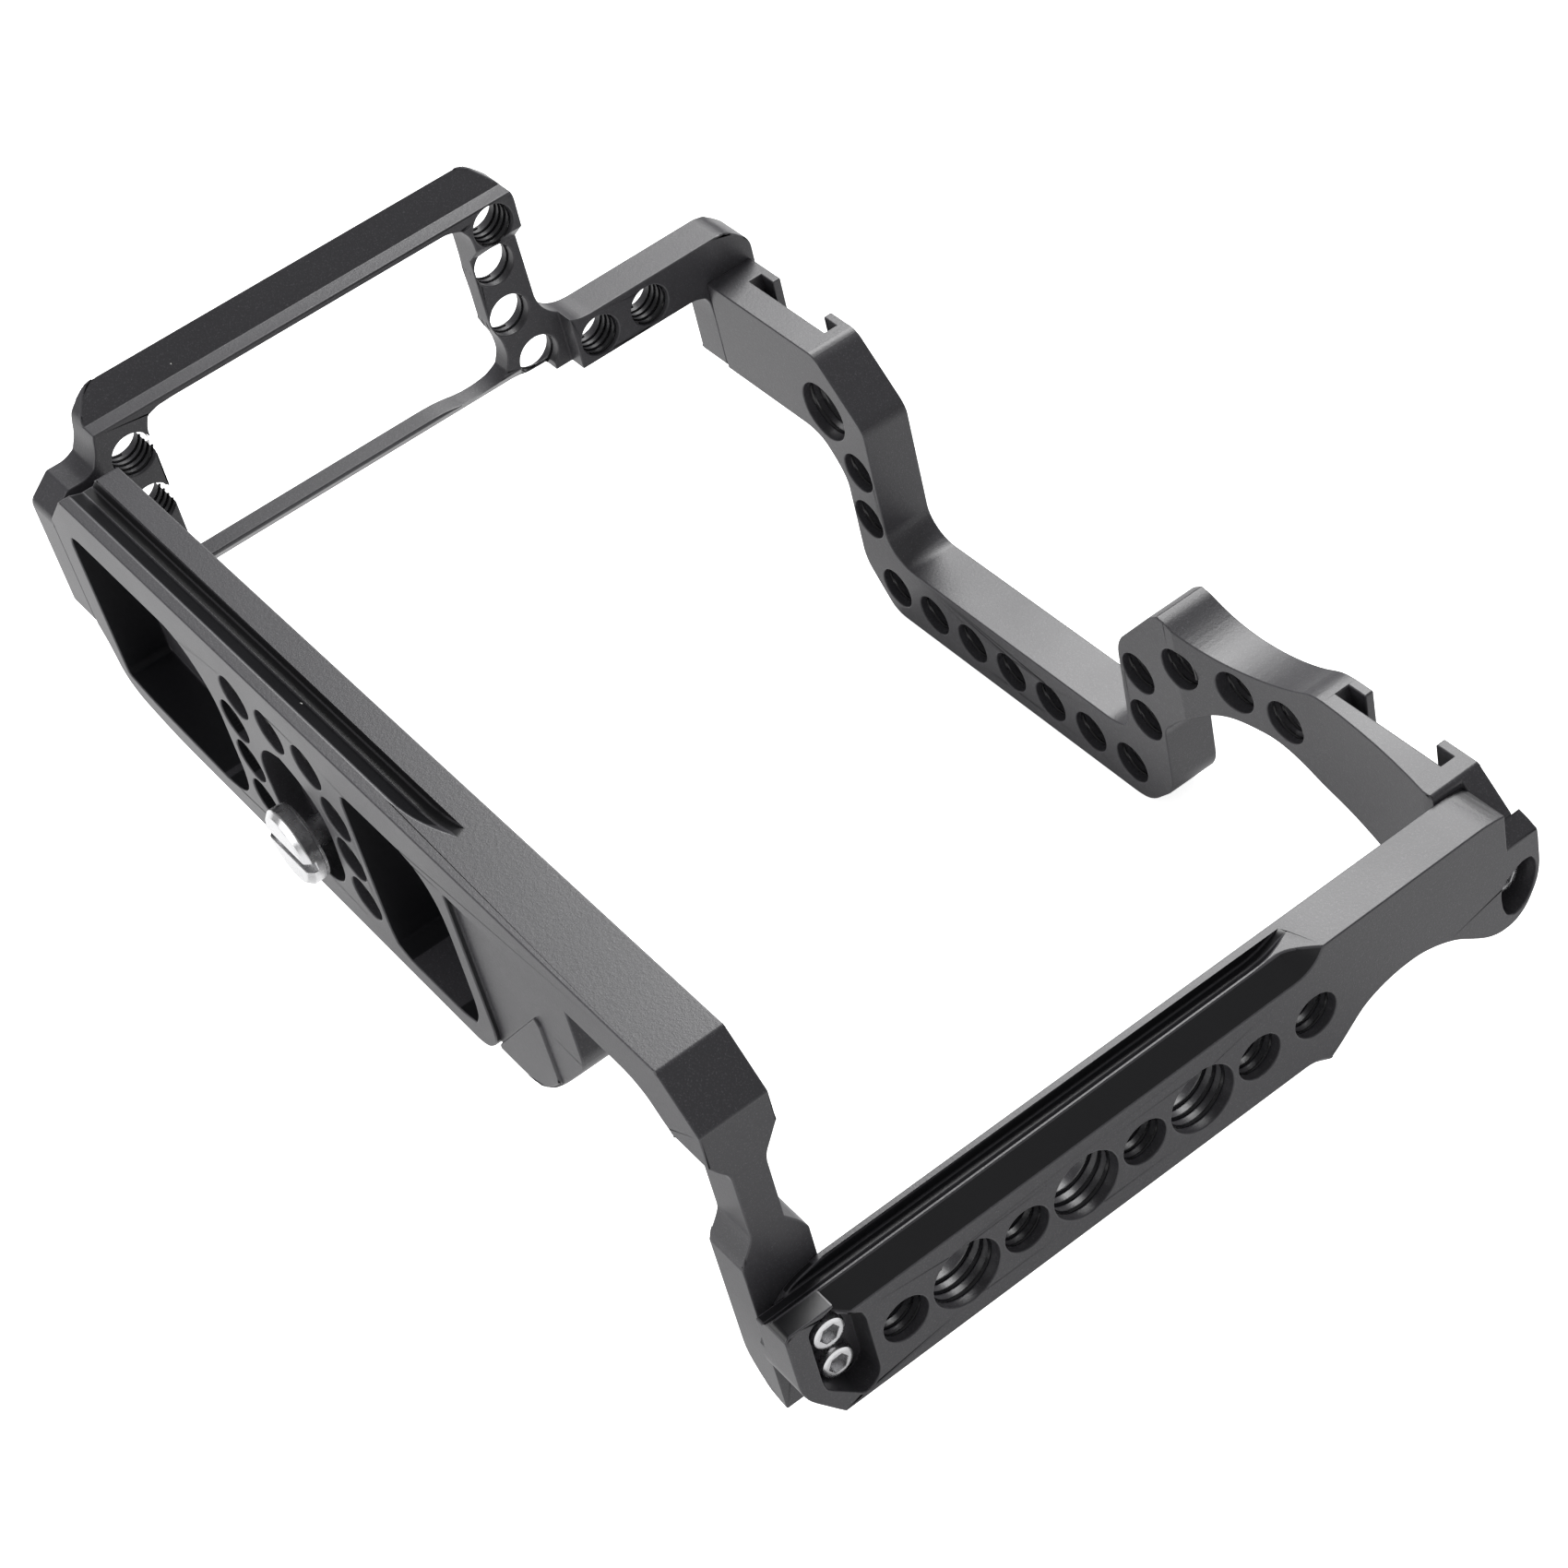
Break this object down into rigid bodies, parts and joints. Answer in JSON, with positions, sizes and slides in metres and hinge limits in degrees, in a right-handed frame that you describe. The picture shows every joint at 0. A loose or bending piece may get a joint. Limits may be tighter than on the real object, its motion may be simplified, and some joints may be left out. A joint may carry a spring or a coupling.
{
  "type": "camera cage",
  "caption": "Black anodised aluminium cage that surrounds a camera body, with accessory threads, cold shoes, quick-release rails and a captive camera screw.",
  "frame": {"origin": "centre of the box round the whole part, on the ground it lies on", "axes": "the cage lies on its back, as a plate-like part rests; +X runs from the grip frame to the side rail, +Y from the bottom plate to the top bar, +Z from the back to the front of the camera"},
  "size_m": [0.1666, 0.1182, 0.0812],
  "materials": {
    "black_anodised": "bead-blasted, black anodised",
    "steel": "plain stainless steel",
    "bright_steel": "turned stainless steel"
  },
  "bodies": {
    "cage": {"bottom_plate": "black_anodised", "grip_frame": "black_anodised", "top_bar": "black_anodised", "side_rail": "black_anodised", "rail_lower_screws": "steel", "rail_upper_screw": "steel", "grip_lower_screws": "steel", "grip_upper_screws": "steel"},
    "screw_slider": {"retaining_washer": "steel"},
    "screw_carrier": {"camera_screw_washer": "steel"},
    "camera_screw": {"camera_screw": "bright_steel"}
  },
  "joints": [
    {"name": "screw_shift", "type": "slide", "parent": "cage", "child": "screw_slider", "axis": [0, 0, 1], "range_m": [0, 0.0072]},
    {"name": "screw_press", "type": "slide", "parent": "screw_slider", "child": "screw_carrier", "axis": [0, 1, 0], "range_m": [0, 0.004]},
    {"name": "screw_spin", "type": "hinge", "parent": "screw_carrier", "child": "camera_screw", "pos_m": [-0.01815, -0.0563, 0.0499], "axis": [0, 1, 0], "continuous": true}
  ]
}
